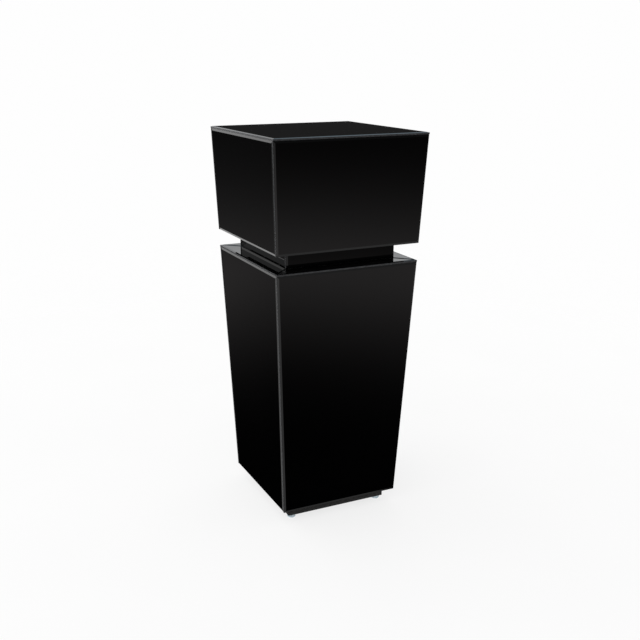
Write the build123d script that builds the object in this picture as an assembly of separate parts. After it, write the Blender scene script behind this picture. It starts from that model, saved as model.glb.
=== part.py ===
from build123d import *

import math
import os
from dataclasses import dataclass

# A display plinth: two tapering boxes, one above the other, clad in bevelled black glass and joined by a
# narrower neck. The lower box stands on a recessed base plate with four levelling feet.
# +Z is up, the origin is on the floor under the middle, and -Y is the front. Millimetres and degrees.

# Overall form
HEIGHT = 914.4
TOP_WIDTH = 381.0
UPPER_BOTTOM_WIDTH = 358.5
LEDGE_WIDTH = 355.0
LOWER_BOTTOM_WIDTH = 299.5
NECK_WIDTH = 276.5
BASE_WIDTH = 258.0
LOWER_BOX_HEIGHT = 590.0
NECK_HEIGHT = 39.5
BASE_EXPOSED = 22.5
BASE_FLOOR_GAP = 9.0

# Glass cladding and the tape that holds it
GLASS = 5.0
BEVEL_WIDTH = 4.8
BEVEL_DEPTH = 1.25
GLASS_JOINT = 0.4
TAPE = 1.0
TAPE_WIDTH = 25.0
TAPE_END_MARGIN = 12.0
LEDGE_TAPE_MARGIN = 3.0
UPPER_TAPE_SPACING = 200.0
LOWER_TAPE_SPACING = 170.0
NECK_TAPE_SPACING = 160.0

# Board carcasses
BOARD = 15.0
POST = 20.0
UNDERSIDE_RECESS = 1.0
BASE_EDGE_RADIUS = 1.5

# Bolts that clamp the two boxes to the neck
BOLT_SPACING = 180.0
BOLT_RADIUS = 4.0
BOLT_HOLE_CLEARANCE = 0.5
BOLT_END = 3.0
BOLT_END_CHAMFER = 0.8
HEX_WIDTH = 13.0
BOLT_HEAD_HEIGHT = 5.3
NUT_HEIGHT = 8.0
NUT_CLEARANCE = 0.05
WASHER_RADIUS = 8.0
WASHER_THICKNESS = 1.6
WASHER_CLEARANCE = 0.2

# Countersunk wood screws
SCREW_RADIUS = 2.0
SCREW_HEAD_RADIUS = 4.0
SCREW_TIP = 5.0
SCREW_LENGTH = 35.0
SCREW_CLEARANCE = 0.05
RECESS_WIDTH = 0.9
RECESS_LENGTH = 4.0
RECESS_DEPTH = 1.8
UNDERSIDE_SCREW_SPACING = 90.0
BASE_SCREW_NEAR = 40.0
BASE_SCREW_FAR = 95.0

# Levelling feet
FOOT_INSET = 13.0
FOOT_TRAVEL = 8.0
PAD_RADIUS = 10.0
PAD_LOWER_ROUND = 2.5
PAD_UPPER_ROUND = 0.8
PAD_BASE_GAP = 0.3
PAD_FLOOR = 1.8
STUD_RADIUS = 3.0
STUD_FLANGE_RADIUS = 6.0
STUD_FLANGE_HEIGHT = 2.1
STUD_FLANGE_PLAY = 0.15
STUD_END_CHAMFER = 0.8
STUD_HOLE_CLEARANCE = 0.5
COLLAR_WIDTH = 10.0
COLLAR_HEIGHT = 3.0
COLLAR_GAP = 0.2
RUNNING_FIT = 0.06
INSERT_FLANGE_RADIUS = 9.0
INSERT_FLANGE_HEIGHT = 1.5
INSERT_RADIUS = 4.4
INSERT_LENGTH = 10.0
INSERT_RECESS = 4.0
INSERT_CLEARANCE = 0.05

# How far a cutting block runs past what it cuts
PAST = 2.0

# Levels, from the floor up
BASE_Z = BASE_FLOOR_GAP
LOWER_Z = BASE_Z + BASE_EXPOSED
LEDGE_Z = LOWER_Z + LOWER_BOX_HEIGHT
UPPER_Z = LEDGE_Z + NECK_HEIGHT
CLADDING = GLASS + TAPE

OUTWARDS = {
    "front": Vector(0, -1, 0),
    "right": Vector(1, 0, 0),
    "back": Vector(0, 1, 0),
    "left": Vector(-1, 0, 0),
}
CORNERS = {
    "front_left": (-1, -1),
    "front_right": (1, -1),
    "back_right": (1, 1),
    "back_left": (-1, 1),
}


@dataclass(frozen=True)
class Envelope:
    """The outer form of a square box whose four sides may lean."""

    z_low: float
    z_high: float
    width_low: float
    width_high: float

    @property
    def lean(self):
        """How far each side moves outwards for each millimetre of height."""
        return (self.width_high - self.width_low) / 2 / (self.z_high - self.z_low)

    def half_width(self, z, inset=0.0):
        """Half the width at a height, with the side moved in square to itself."""
        outer = self.width_low / 2 + (z - self.z_low) * self.lean
        return outer - inset * math.hypot(1, self.lean)

    def block(self, inset_x, inset_y, z_low, z_high):
        """A solid inside the form, its sides moved in by one distance along X and another along Y."""
        rings = []
        for z in (z_low, z_high):
            x = self.half_width(z, inset_x)
            y = self.half_width(z, inset_y)
            rings.append([(-x, -y, z), (x, -y, z), (x, y, z), (-x, y, z)])
        low, high = rings
        outlines = [low, high]
        for corner in range(4):
            following = (corner + 1) % 4
            outlines.append([low[corner], low[following], high[following], high[corner]])
        return Solid(Shell([Face(Wire.make_polygon(outline)) for outline in outlines]))

    def walls(self, inset, thickness, joint, z_low, z_high):
        """Four walls by side name. Front and back run the full width, and the others fit between."""
        inner = inset + thickness
        low = z_low - PAST
        high = z_high + PAST
        full = self.block(inset, inset, z_low, z_high)
        front_back = full - self.block(inset - PAST, inner, low, high)
        between = self.block(inset, inner + joint, z_low, z_high)
        left_right = between - self.block(inner, inner - PAST, low, high)
        front, back = front_back.solids().sort_by(Axis.Y)
        left, right = left_right.solids().sort_by(Axis.X)
        return {"front": front, "right": right, "back": back, "left": left}

    def posts(self, inset, width, z_low, z_high):
        """Four posts that follow the inside corners."""
        low = z_low - PAST
        high = z_high + PAST
        core = self.block(inset, inset, z_low, z_high)
        along_x = self.block(inset - PAST, inset + width, low, high)
        along_y = self.block(inset + width, inset - PAST, low, high)
        return core - along_x - along_y

    def tape(self, inset, spacing, z_low, z_high):
        """Two upright strips of tape on each side, behind glass that is inset thick."""
        reach = 2 * self.width_high
        middle = (z_low + z_high) / 2
        outer = self.block(inset, inset, z_low, z_high)
        inner = self.block(inset + TAPE, inset + TAPE, z_low - PAST, z_high + PAST)
        layer = outer - inner
        strips = []
        for across in (-spacing / 2, spacing / 2):
            for place, size in (
                ((across, 0, middle), (TAPE_WIDTH, reach)),
                ((0, across, middle), (reach, TAPE_WIDTH)),
            ):
                window = Pos(*place) * Box(*size, z_high - z_low)
                strips += (layer & window).solids()
        return strips


UPPER = Envelope(UPPER_Z, HEIGHT, UPPER_BOTTOM_WIDTH, TOP_WIDTH)
NECK = Envelope(LEDGE_Z, UPPER_Z, NECK_WIDTH, NECK_WIDTH)
LOWER = Envelope(LOWER_Z, LEDGE_Z, LOWER_BOTTOM_WIDTH, LEDGE_WIDTH)


def placed(shape, points):
    """Copies of a shape, one at each point."""
    return [Pos(*point) * shape for point in points]


def bevelled(glass, face, edges=None):
    """Glass with a wide shallow bevel along a face's edges."""
    return glass.chamfer(BEVEL_WIDTH, BEVEL_DEPTH, edges or face.edges(), face)


def bevelled_walls(walls):
    """Glass walls with the outer face of each one bevelled all round."""
    done = {}
    for side, wall in walls.items():
        outer = max(wall.faces(), key=lambda face: face.normal_at().dot(OUTWARDS[side]))
        done[side] = bevelled(wall, outer)
    return done


def screw_form(clearance):
    """A screw's outline, or with a clearance the hole that it needs."""
    shank = SCREW_RADIUS + clearance
    head = SCREW_HEAD_RADIUS + clearance
    outline = Polyline(
        (0, 0),
        (head, 0),
        (shank, shank - head),
        (shank, SCREW_TIP - SCREW_LENGTH),
        (0, -SCREW_LENGTH - clearance),
        close=True,
    )
    return revolve(Plane.XZ * make_face(outline), Axis.Z)


def wood_screw():
    """A countersunk screw with its head at the origin, pointing down."""
    with_recess = screw_form(0)
    for turn in (0, 90):
        slot = Rot(0, 0, turn) * Box(RECESS_LENGTH, RECESS_WIDTH, 2 * RECESS_DEPTH)
        with_recess -= slot
    return with_recess


def underside_screw_points(box, z):
    """Places under a box's bottom board, three in line with each side board above it."""
    across = box.half_width(z + SCREW_LENGTH / 2, CLADDING + BOARD / 2)
    points = []
    for side in (-across, across):
        for step in (-1, 0, 1):
            along = step * UNDERSIDE_SCREW_SPACING
            points += [(along, side, z), (side, along, z)]
    return points


def hexagon(width, height):
    """A hexagonal prism of a given width across its flats, standing on the origin."""
    return extrude(RegularPolygon(width / 2, 6, major_radius=False), height)


def build_box(name, box, glass_top, tape_spacing, parts):
    """One box: glass sides, tape, side boards, corner posts and a bottom board that is screwed on."""
    board_low = box.z_low + UNDERSIDE_RECESS
    wall_low = board_low + BOARD
    wall_high = box.z_high - CLADDING - BOARD
    glass = box.walls(0, GLASS, GLASS_JOINT, box.z_low, glass_top)
    for side, panel in bevelled_walls(glass).items():
        parts[f"{name}_{side}_glass"] = panel
    tape_low = wall_low + TAPE_END_MARGIN
    tape_high = wall_high - TAPE_END_MARGIN
    parts[f"{name}_glass_tape"] = Compound(children=box.tape(GLASS, tape_spacing, tape_low, tape_high))

    screw = Rot(180, 0, 0) * wood_screw()
    hole = Rot(180, 0, 0) * screw_form(SCREW_CLEARANCE)
    points = underside_screw_points(box, board_low)
    holes = placed(hole, points)
    parts[f"{name}_bottom_screws"] = Compound(children=placed(screw, points))
    for side, board in box.walls(CLADDING, BOARD, 0, wall_low, wall_high).items():
        parts[f"{name}_{side}_board"] = board - holes
    parts[f"{name}_bottom_board"] = box.block(CLADDING, CLADDING, board_low, wall_low) - holes
    parts[f"{name}_corner_posts"] = box.posts(CLADDING + BOARD, POST, wall_low, wall_high)
    parts[f"{name}_top_board"] = box.block(CLADDING, CLADDING, wall_high, box.z_high - CLADDING)


def build_top(parts):
    """The display surface: one square of glass taped to the upper box's top board."""
    slab = Pos(0, 0, HEIGHT - GLASS / 2) * Box(TOP_WIDTH, TOP_WIDTH, GLASS)
    parts["top_glass"] = bevelled(slab, slab.faces().sort_by(Axis.Z)[-1])
    length = 2 * (UPPER.half_width(HEIGHT - CLADDING, CLADDING) - TAPE_END_MARGIN)
    strip = Box(TAPE_WIDTH, length, TAPE)
    level = HEIGHT - GLASS - TAPE / 2
    places = [(across * UPPER_TAPE_SPACING / 2, 0, level) for across in (-1, 0, 1)]
    parts["top_glass_tape"] = Compound(children=placed(strip, places))


def build_ledge(parts):
    """Four mitred strips of glass that cover the lower box's shoulder, round the neck."""
    outer = LEDGE_WIDTH / 2
    inner = NECK.half_width(LEDGE_Z, CLADDING) + GLASS_JOINT
    trim = GLASS_JOINT / 2 * math.sqrt(2)
    outline = Polyline(
        (trim - outer, -outer),
        (outer - trim, -outer),
        (inner - trim, -inner),
        (trim - inner, -inner),
        close=True,
    )
    blank = Pos(0, 0, LEDGE_Z - GLASS) * extrude(make_face(outline), GLASS)
    top = blank.faces().sort_by(Axis.Z)[-1]
    strip = bevelled(blank, top, top.edges().sort_by(Axis.Y)[:-1])
    board_edge = LOWER.half_width(LEDGE_Z - CLADDING, CLADDING)
    tape_length = 2 * (inner - TAPE_END_MARGIN)
    tape_width = board_edge - inner - 2 * LEDGE_TAPE_MARGIN
    tape_place = (0, -(board_edge + inner) / 2, LEDGE_Z - GLASS - TAPE / 2)
    tape = Pos(*tape_place) * Box(tape_length, tape_width, TAPE)
    tapes = []
    for step, side in enumerate(OUTWARDS):
        turn = Rot(0, 0, 90 * step)
        parts[f"ledge_{side}_glass"] = turn * strip
        tapes.append(turn * tape)
    parts["ledge_glass_tape"] = Compound(children=tapes)


def build_neck(parts):
    """The recessed neck: four boards between the two boxes, clad in strips of glass."""
    low = LEDGE_Z - CLADDING
    high = UPPER_Z + UNDERSIDE_RECESS
    for side, board in NECK.walls(CLADDING, BOARD, 0, low, high).items():
        parts[f"neck_{side}_board"] = board
    glass = NECK.walls(0, GLASS, GLASS_JOINT, LEDGE_Z + GLASS_JOINT, high - GLASS_JOINT)
    for side, panel in bevelled_walls(glass).items():
        parts[f"neck_{side}_glass"] = panel
    tape_low = LEDGE_Z + GLASS_JOINT
    tape_high = high - GLASS_JOINT
    parts["neck_glass_tape"] = Compound(children=NECK.tape(GLASS, NECK_TAPE_SPACING, tape_low, tape_high))


def build_neck_bolts(parts):
    """Four bolts that run down through the neck and clamp both boxes to it, with their holes."""
    half = BOLT_SPACING / 2
    points = [(x * half, y * half, 0) for x, y in CORNERS.values()]
    clamped_low = LEDGE_Z - CLADDING - BOARD
    clamped_high = UPPER_Z + UNDERSIDE_RECESS + BOARD
    hole_height = clamped_high - clamped_low + 2 * PAST
    middle = (clamped_low + clamped_high) / 2
    hole = Pos(0, 0, middle) * Cylinder(BOLT_RADIUS + BOLT_HOLE_CLEARANCE, hole_height)
    for node in ("upper_bottom_board", "lower_top_board"):
        parts[node] = parts[node] - placed(hole, points)

    head_z = clamped_high + WASHER_THICKNESS
    nut_z = clamped_low - WASHER_THICKNESS - NUT_HEIGHT
    end_z = nut_z - BOLT_END
    shank = Pos(0, 0, (head_z + end_z) / 2) * Cylinder(BOLT_RADIUS, head_z - end_z)
    shank = chamfer(shank.edges().sort_by(Axis.Z)[0], BOLT_END_CHAMFER)
    bolt = shank + Pos(0, 0, head_z) * hexagon(HEX_WIDTH, BOLT_HEAD_HEIGHT)
    parts["neck_bolts"] = Compound(children=placed(bolt, points))

    bore = Pos(0, 0, NUT_HEIGHT / 2) * Cylinder(BOLT_RADIUS + NUT_CLEARANCE, NUT_HEIGHT + 2 * PAST)
    nut = Pos(0, 0, nut_z) * (hexagon(HEX_WIDTH, NUT_HEIGHT) - bore)
    parts["neck_nuts"] = Compound(children=placed(nut, points))

    ring = Cylinder(WASHER_RADIUS, WASHER_THICKNESS)
    ring -= Cylinder(BOLT_RADIUS + WASHER_CLEARANCE, WASHER_THICKNESS + 2 * PAST)
    washers = []
    for z in (clamped_low - WASHER_THICKNESS / 2, clamped_high + WASHER_THICKNESS / 2):
        washers += placed(Pos(0, 0, z) * ring, points)
    parts["neck_washers"] = Compound(children=washers)


def foot_pad():
    """A round pad with a socket that holds the stud's flange and lets it turn."""
    height = BASE_FLOOR_GAP - PAD_BASE_GAP
    pad = Pos(0, 0, height / 2) * Cylinder(PAD_RADIUS, height)
    rims = pad.edges().filter_by(GeomType.CIRCLE).sort_by(Axis.Z)
    pad = fillet(rims[0], PAD_LOWER_ROUND)
    rims = pad.edges().filter_by(GeomType.CIRCLE).sort_by(Axis.Z)
    pad = fillet(rims[-1], PAD_UPPER_ROUND)
    socket_height = STUD_FLANGE_HEIGHT + 2 * STUD_FLANGE_PLAY
    socket_middle = PAD_FLOOR + socket_height / 2
    socket = Pos(0, 0, socket_middle) * Cylinder(STUD_FLANGE_RADIUS + RUNNING_FIT, socket_height)
    mouth_height = height + PAST - socket_middle
    mouth_middle = socket_middle + mouth_height / 2
    mouth = Pos(0, 0, mouth_middle) * Cylinder(STUD_RADIUS + RUNNING_FIT, mouth_height)
    return pad - socket - mouth


def stud_top():
    """The height of a stud's upper end, which fills its insert over the whole travel."""
    return BASE_Z + INSERT_RECESS + INSERT_LENGTH + FOOT_TRAVEL


def foot_stud():
    """A stud with a flange that turns in the pad, a hexagonal collar and a shank up into its insert."""
    flange_low = PAD_FLOOR + STUD_FLANGE_PLAY
    flange = Pos(0, 0, flange_low + STUD_FLANGE_HEIGHT / 2) * Cylinder(STUD_FLANGE_RADIUS, STUD_FLANGE_HEIGHT)
    top = stud_top()
    shank = Pos(0, 0, (flange_low + top) / 2) * Cylinder(STUD_RADIUS, top - flange_low)
    shank = chamfer(shank.edges().sort_by(Axis.Z)[-1], STUD_END_CHAMFER)
    collar = Pos(0, 0, BASE_Z + COLLAR_GAP) * hexagon(COLLAR_WIDTH, COLLAR_HEIGHT)
    return flange + shank + collar


def foot_insert():
    """A flanged threaded insert, pushed up into the base plate from below."""
    flange_z = BASE_Z + INSERT_RECESS
    flange = Pos(0, 0, INSERT_FLANGE_HEIGHT / 2) * Cylinder(INSERT_FLANGE_RADIUS, INSERT_FLANGE_HEIGHT)
    barrel = Pos(0, 0, INSERT_LENGTH / 2) * Cylinder(INSERT_RADIUS, INSERT_LENGTH)
    bore = Pos(0, 0, INSERT_LENGTH / 2) * Cylinder(STUD_RADIUS + RUNNING_FIT, INSERT_LENGTH + 2 * PAST)
    return Pos(0, 0, flange_z) * (flange + barrel - bore)


def foot_hole():
    """What is cut from the base plate for one foot: a stepped hole from below."""
    steps = (
        (INSERT_FLANGE_RADIUS + INSERT_CLEARANCE, BASE_Z + INSERT_RECESS + INSERT_FLANGE_HEIGHT),
        (INSERT_RADIUS + INSERT_CLEARANCE, BASE_Z + INSERT_RECESS + INSERT_LENGTH),
        (STUD_RADIUS + STUD_HOLE_CLEARANCE, stud_top() + STUD_HOLE_CLEARANCE),
    )
    start = BASE_Z - PAST
    return [Pos(0, 0, (start + top) / 2) * Cylinder(radius, top - start) for radius, top in steps]


def build_base(parts):
    """The recessed base plate, the screws that hold it to the lower box, and its four feet."""
    high = LOWER_Z + UNDERSIDE_RECESS
    plate = Pos(0, 0, (BASE_Z + high) / 2) * Box(BASE_WIDTH, BASE_WIDTH, high - BASE_Z)
    plate = fillet(plate.edges().filter_by(Axis.Z), BASE_EDGE_RADIUS)

    near = BASE_SCREW_NEAR
    far = BASE_SCREW_FAR
    screw_points = []
    for x, y in CORNERS.values():
        screw_points += [(x * near, y * far, high + BOARD), (x * far, y * near, high + BOARD)]
    holes = placed(screw_form(SCREW_CLEARANCE), screw_points)
    parts["base_screws"] = Compound(children=placed(wood_screw(), screw_points))
    parts["lower_bottom_board"] = parts["lower_bottom_board"] - holes

    half = BASE_WIDTH / 2 - FOOT_INSET
    inserts = []
    for corner, (x, y) in CORNERS.items():
        place = Pos(x * half, y * half, 0)
        holes += [place * step for step in foot_hole()]
        inserts.append(place * foot_insert())
        parts[f"foot_pad_{corner}"] = place * foot_pad()
        parts[f"foot_stud_{corner}"] = place * foot_stud()
    parts["base_plate"] = plate - holes
    parts["foot_inserts"] = Compound(children=inserts)


def build():
    """Every piece of the plinth, by node name."""
    parts = {}
    cover = GLASS + GLASS_JOINT
    build_box("upper", UPPER, HEIGHT - cover, UPPER_TAPE_SPACING, parts)
    build_box("lower", LOWER, LEDGE_Z - cover, LOWER_TAPE_SPACING, parts)
    build_top(parts)
    build_ledge(parts)
    build_neck(parts)
    build_neck_bolts(parts)
    build_base(parts)
    return parts


os.makedirs("parts", exist_ok=True)
for node, shape in build().items():
    export_step(shape, f"parts/{node}.step")
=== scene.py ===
"""A black glass display plinth: its visible pieces, finishes and a plain studio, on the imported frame."""

import logging
import math
from dataclasses import dataclass, field
from enum import Enum, IntEnum
from typing import Any, Callable, Iterable, Optional, Sequence

import bmesh
import bpy
from mathutils import Matrix, Vector


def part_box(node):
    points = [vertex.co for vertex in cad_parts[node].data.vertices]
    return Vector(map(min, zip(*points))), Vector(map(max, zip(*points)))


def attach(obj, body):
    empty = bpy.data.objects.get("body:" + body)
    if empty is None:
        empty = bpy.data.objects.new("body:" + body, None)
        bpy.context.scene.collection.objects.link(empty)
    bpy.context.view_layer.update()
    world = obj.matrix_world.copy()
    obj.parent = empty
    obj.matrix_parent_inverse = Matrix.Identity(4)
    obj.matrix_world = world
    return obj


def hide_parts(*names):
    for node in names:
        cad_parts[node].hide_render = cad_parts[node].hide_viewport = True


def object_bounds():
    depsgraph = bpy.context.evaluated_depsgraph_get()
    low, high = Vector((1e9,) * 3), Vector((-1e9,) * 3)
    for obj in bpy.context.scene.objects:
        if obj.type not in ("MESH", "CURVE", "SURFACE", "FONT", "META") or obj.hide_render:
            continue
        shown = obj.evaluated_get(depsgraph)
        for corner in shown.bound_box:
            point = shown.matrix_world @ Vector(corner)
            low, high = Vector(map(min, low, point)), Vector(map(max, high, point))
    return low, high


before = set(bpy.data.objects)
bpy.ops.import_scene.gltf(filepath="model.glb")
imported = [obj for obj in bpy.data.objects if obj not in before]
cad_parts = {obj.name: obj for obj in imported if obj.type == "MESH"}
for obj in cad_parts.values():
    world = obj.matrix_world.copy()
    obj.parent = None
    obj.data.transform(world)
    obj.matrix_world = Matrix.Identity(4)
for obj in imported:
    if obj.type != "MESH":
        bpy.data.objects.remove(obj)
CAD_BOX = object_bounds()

LOG = logging.getLogger("plinth")

# The frame's names
PLINTH = "plinth"
BOXES = ("upper", "lower", "neck")
CORNERS = ("front_left", "front_right", "back_right", "back_left")
SIDES = {"front": (0, -1, 0), "right": (1, 0, 0), "back": (0, 1, 0), "left": (-1, 0, 0)}

# Lengths in metres, and angles in degrees
MM = 0.001
MERGE_GAP = 0.002 * MM
CUT_GAP = 0.0001 * MM
FLAT_ANGLE = 0.5
SHADE_ANGLE = 32.0

# The range that most of a noise lies in, and indexes of refraction
NOISE_RANGE = (0.3, 0.7)
GLASS_IOR = 1.5
NYLON_IOR = 1.53

Pair = tuple[float, float]
Triple = tuple[float, float, float]
Colour = Triple
Socket = bpy.types.NodeSocket
Form = bmesh.types.BMesh


class Slot(Enum):
    """The record's material slots that the pieces made here take."""

    GLASS = "black_glass"
    LACQUER = "black_lacquer"
    STEEL = "zinc_steel"
    NYLON = "clear_nylon"


# ---- Shader graphs and the effects that several finishes share ----


class Graph:
    """Adds nodes to a node tree and wires them up."""

    def __init__(self, tree: bpy.types.NodeTree) -> None:
        """Takes the tree that the nodes go into."""
        self.tree = tree

    def feed(self, socket: Socket, value: Any) -> None:
        """Links an input to the value where that is a socket, or else sets the input to it."""
        if isinstance(value, Socket):
            self.tree.links.new(value, socket)
            return
        if socket.type == "RGBA" and len(value) == 3:
            value = (*value, 1.0)
        socket.default_value = value

    def add(self, kind: str, inputs: Optional[dict[Any, Any]] = None, **settings: Any) -> bpy.types.Node:
        """Adds one node.

        Args:
            kind: The node's type name.
            inputs: What goes into its sockets, by name or number.
            settings: The node's own properties.

        Returns:
            The node.
        """
        node = self.tree.nodes.new(kind)
        for name, value in settings.items():
            setattr(node, name, value)
        for key, value in (inputs or {}).items():
            self.feed(node.inputs[key], value)
        return node

    def math(self, operation: str, *values: Any, clamp: bool = False) -> Socket:
        """The result of one sum on up to three values."""
        node = self.add("ShaderNodeMath", dict(enumerate(values)), operation=operation, use_clamp=clamp)
        return node.outputs[0]

    def product(self, *values: Any) -> Socket:
        """All the values multiplied together."""
        result = values[0]
        for value in values[1:]:
            result = self.math("MULTIPLY", result, value)
        return result

    def remap(self, value: Any, low: float, high: float, to_low: Any = 0.0, to_high: Any = 1.0,
              smooth: bool = True) -> Socket:
        """A value moved from one range to another and held inside it.

        Args:
            value: The value to move.
            low: The start of its range.
            high: The end of its range.
            to_low: What the start becomes.
            to_high: What the end becomes.
            smooth: Whether it eases in and out.

        Returns:
            The moved value.
        """
        kind = "SMOOTHSTEP" if smooth else "LINEAR"
        inputs = {0: value, 1: low, 2: high, 3: to_low, 4: to_high}
        return self.add("ShaderNodeMapRange", inputs, interpolation_type=kind).outputs[0]

    def spread(self, noise: Any, to_low: Any = 0.0, to_high: Any = 1.0) -> Socket:
        """The range that most of a noise lies in, stretched from one value to another."""
        return self.remap(noise, *NOISE_RANGE, to_low, to_high)

    def scaled(self, colour: Any, level: Any) -> Socket:
        """A colour times a level."""
        return self.add("ShaderNodeVectorMath", {0: colour, "Scale": level}, operation="SCALE").outputs[0]

    def both(self, first: Any, second: Any) -> Socket:
        """Two colours added together."""
        return self.add("ShaderNodeVectorMath", {0: first, 1: second}, operation="ADD").outputs[0]

    def mix(self, factor: Any, low: Any, high: Any) -> Socket:
        """A colour between two others."""
        return self.add("ShaderNodeMix", {0: factor, 6: low, 7: high}, data_type="RGBA").outputs[2]

    def mix_number(self, factor: Any, low: Any, high: Any) -> Socket:
        """A number between two others."""
        return self.add("ShaderNodeMix", {0: factor, 2: low, 3: high}, data_type="FLOAT").outputs[0]

    def ramp(self, factor: Any, stops: Sequence[Pair]) -> Socket:
        """A grey curve through a list of (place, level) stops."""
        node = self.add("ShaderNodeValToRGB", {0: factor})
        elements = node.color_ramp.elements
        while len(elements) < len(stops):
            elements.new(1.0)
        for element, (place, level) in zip(elements, stops):
            element.position = place
            element.color = (level, level, level, 1.0)
        return node.outputs[0]

    def noise(self, vector: Any, scale: Any, detail: float = 3.0, rough: float = 0.5) -> Socket:
        """Fractal noise from 0 to 1."""
        inputs = {"Vector": vector, "Scale": scale, "Detail": detail, "Roughness": rough}
        return self.add("ShaderNodeTexNoise", inputs).outputs[0]

    def object_place(self, stretch: Triple = (1, 1, 1), turn: Triple = (0, 0, 0)) -> Socket:
        """Object coordinates, stretched and turned."""
        place = self.add("ShaderNodeTexCoord").outputs["Object"]
        return self.add("ShaderNodeMapping", {0: place, 2: turn, 3: stretch}).outputs[0]

    def bump(self, height: Any, distance: float, strength: float = 1.0) -> Socket:
        """A normal that follows a height times a distance in metres."""
        inputs = {"Height": height, "Distance": distance, "Strength": strength}
        return self.add("ShaderNodeBump", inputs).outputs[0]

    def effect(self, name: str, **inputs: Any) -> Any:
        """The outputs of one of the shared effects, with this finish's own values."""
        return self.add("ShaderNodeGroup", inputs, node_tree=EffectLibrary.get(name)).outputs


def blank_graph(owner: bpy.types.ID) -> Graph:
    """A graph on the emptied node tree of a material or a world."""
    owner.use_nodes = True
    owner.node_tree.nodes.clear()
    return Graph(owner.node_tree)


def linked(name: str, data: bpy.types.ID) -> bpy.types.Object:
    """A new object in the scene with the given data."""
    made = bpy.data.objects.new(name, data)
    bpy.context.scene.collection.objects.link(made)
    return made


def mesh_of(form: Form) -> bpy.types.Mesh:
    """A mesh made from a form, which is freed."""
    mesh = bpy.data.meshes.new("form")
    form.to_mesh(mesh)
    form.free()
    return mesh


@dataclass(frozen=True)
class Effect:
    """A surface effect that is built once as a node group."""

    name: str
    inputs: tuple[tuple[str, float], ...]
    outputs: tuple[str, ...]
    fill: Callable[[Graph, Any], dict[str, Any]]

    def build(self) -> bpy.types.NodeTree:
        """Makes the node group."""
        tree = bpy.data.node_groups.new(self.name, "ShaderNodeTree")
        for name, value in self.inputs:
            socket = tree.interface.new_socket(name, in_out="INPUT", socket_type="NodeSocketFloat")
            socket.default_value = value
        for name in self.outputs:
            tree.interface.new_socket(name, in_out="OUTPUT", socket_type="NodeSocketFloat")
        graph = Graph(tree)
        given = graph.add("NodeGroupInput")
        results = self.fill(graph, given.outputs)
        graph.add("NodeGroupOutput", results)
        return tree


def fill_dust(graph: Graph, given: Any) -> dict[str, Any]:
    """Specks that settle in patches on what faces up."""
    normal = graph.add("ShaderNodeNewGeometry").outputs["Normal"]
    axes = graph.add("ShaderNodeSeparateXYZ", {0: normal}).outputs
    upward = graph.remap(axes[2], low=0.2, high=0.95)
    place = graph.object_place()
    speck = graph.remap(graph.noise(place, given["Scale"], detail=2.0), low=0.62, high=0.78)
    patch = graph.remap(graph.noise(place, scale=14.0, detail=3.0), low=0.35, high=0.75)
    return {"Mask": graph.product(upward, speck, patch, given["Amount"])}


def fill_smudges(graph: Graph, given: Any) -> dict[str, Any]:
    """Faint wiped and handled areas."""
    broad = graph.noise(graph.object_place(), given["Scale"], detail=4.0, rough=0.55)
    broad = graph.remap(broad, low=0.45, high=0.72)
    drawn_out = graph.object_place(stretch=(1.0, 1.0, 7.0), turn=(0.5, 0.35, 0.2))
    wipe = graph.noise(drawn_out, scale=22.0, detail=3.0)
    streak = graph.remap(wipe, low=0.4, high=0.7, to_low=0.45, to_high=1.0)
    return {"Mask": graph.product(broad, streak, given["Amount"])}


def fill_scratches(graph: Graph, given: Any) -> dict[str, Any]:
    """Sparse hairlines in two directions."""
    lines = []
    for turn, stretch in (((0.2, 0.1, 0.6), (60.0, 1.5, 60.0)), ((-0.3, 0.4, -0.5), (1.5, 60.0, 60.0))):
        noise = graph.noise(graph.object_place(stretch, turn), given["Scale"], detail=1.0)
        lines.append(graph.remap(noise, low=0.735, high=0.76))
    together = graph.math("MAXIMUM", lines[0], lines[1])
    return {"Mask": graph.product(together, given["Amount"])}


def fill_edge_wear(graph: Graph, given: Any) -> dict[str, Any]:
    """Rubbed arrises, where the mesh marks them, broken up by noise."""
    marked = graph.add("ShaderNodeAttribute", attribute_name="arris").outputs["Fac"]
    noise = graph.noise(graph.object_place(), given["Scale"], detail=4.0, rough=0.65)
    breakup = graph.remap(noise, low=0.35, high=0.7, to_low=0.25, to_high=1.0)
    return {"Mask": graph.product(marked, breakup, given["Amount"])}


def fill_grain(graph: Graph, given: Any) -> dict[str, Any]:
    """Fibres that run along Z, with broader bands across them."""
    fine = graph.noise(graph.object_place(stretch=(1.0, 1.0, 0.06)), given["Scale"], detail=5.0, rough=0.6)
    along = graph.object_place(stretch=(1.0, 1.0, 0.12), turn=(0.04, 0.03, 0.0))
    broad = graph.noise(along, given["Bands"], detail=3.0, rough=0.5)
    ring = graph.math("SINE", graph.product(broad, 26.0))
    bands = graph.remap(ring, low=-1.0, high=1.0)
    return {"Fine": fine, "Bands": bands}


class EffectLibrary:
    """Keeps one node group for each shared effect."""

    effects: dict[str, Effect] = {
        effect.name: effect
        for effect in (
            Effect("settled_dust", (("Scale", 900.0), ("Amount", 1.0)), ("Mask",), fill_dust),
            Effect("smudges", (("Scale", 9.0), ("Amount", 1.0)), ("Mask",), fill_smudges),
            Effect("hairline_scratches", (("Scale", 2.0), ("Amount", 1.0)), ("Mask",), fill_scratches),
            Effect("edge_wear", (("Scale", 160.0), ("Amount", 1.0)), ("Mask",), fill_edge_wear),
            Effect("fibre_grain", (("Scale", 700.0), ("Bands", 60.0)), ("Fine", "Bands"), fill_grain),
        )
    }
    built: dict[str, bpy.types.NodeTree] = {}

    @classmethod
    def get(cls, name: str) -> bpy.types.NodeTree:
        """The node group of one effect, made when it is first asked for."""
        if name not in cls.built:
            cls.built[name] = cls.effects[name].build()
        return cls.built[name]


# ---- Finishes ----


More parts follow.
